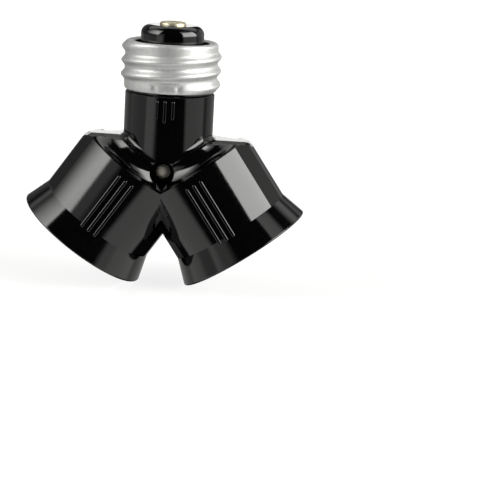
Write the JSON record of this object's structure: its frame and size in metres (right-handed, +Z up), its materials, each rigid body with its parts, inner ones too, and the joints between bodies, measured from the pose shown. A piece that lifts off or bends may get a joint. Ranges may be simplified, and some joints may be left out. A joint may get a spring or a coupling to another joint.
{
  "type": "double light socket",
  "caption": "Twin lamp holder adapter: a screw plug whose neck splits into two slanted, flared lamp sockets.",
  "frame": {"origin": "on the plug's axis, in the plane where the plug shell meets the neck", "axes": "+Z up the plug's axis towards its button, X through both sockets, -Y towards the front half"},
  "size_m": [0.0736, 0.037, 0.0694],
  "materials": {
    "black_moulding": "glossy black thermoset moulding",
    "shell_metal": "bright rolled sheet",
    "contact_brass": "pale bright brass strip",
    "rivet_metal": "plated rivet"
  },
  "bodies": {
    "housing": {"front_housing": "black_moulding", "back_housing": "black_moulding", "housing_rivet": "rivet_metal", "plug_shell": "shell_metal", "plug_eyelet": "contact_brass", "centre_strap": "contact_brass", "shell_strap": "contact_brass", "left_strap_rivet": "rivet_metal", "right_strap_rivet": "rivet_metal", "left_socket_shell": "shell_metal", "right_socket_shell": "shell_metal"},
    "left_contact": {"left_contact": "contact_brass"},
    "right_contact": {"right_contact": "contact_brass"}
  },
  "joints": [
    {"name": "left_contact_flex", "type": "hinge", "parent": "housing", "child": "left_contact", "pos_m": [-0.00938, 0, -0.02348], "axis": [0, 1, 0], "range_deg": [0, 9], "stiffness_Nm_per_rad": 0.12},
    {"name": "right_contact_flex", "type": "hinge", "parent": "housing", "child": "right_contact", "pos_m": [0.00938, 0, -0.02348], "axis": [0, -1, 0], "range_deg": [0, 9], "stiffness_Nm_per_rad": 0.12}
  ]
}
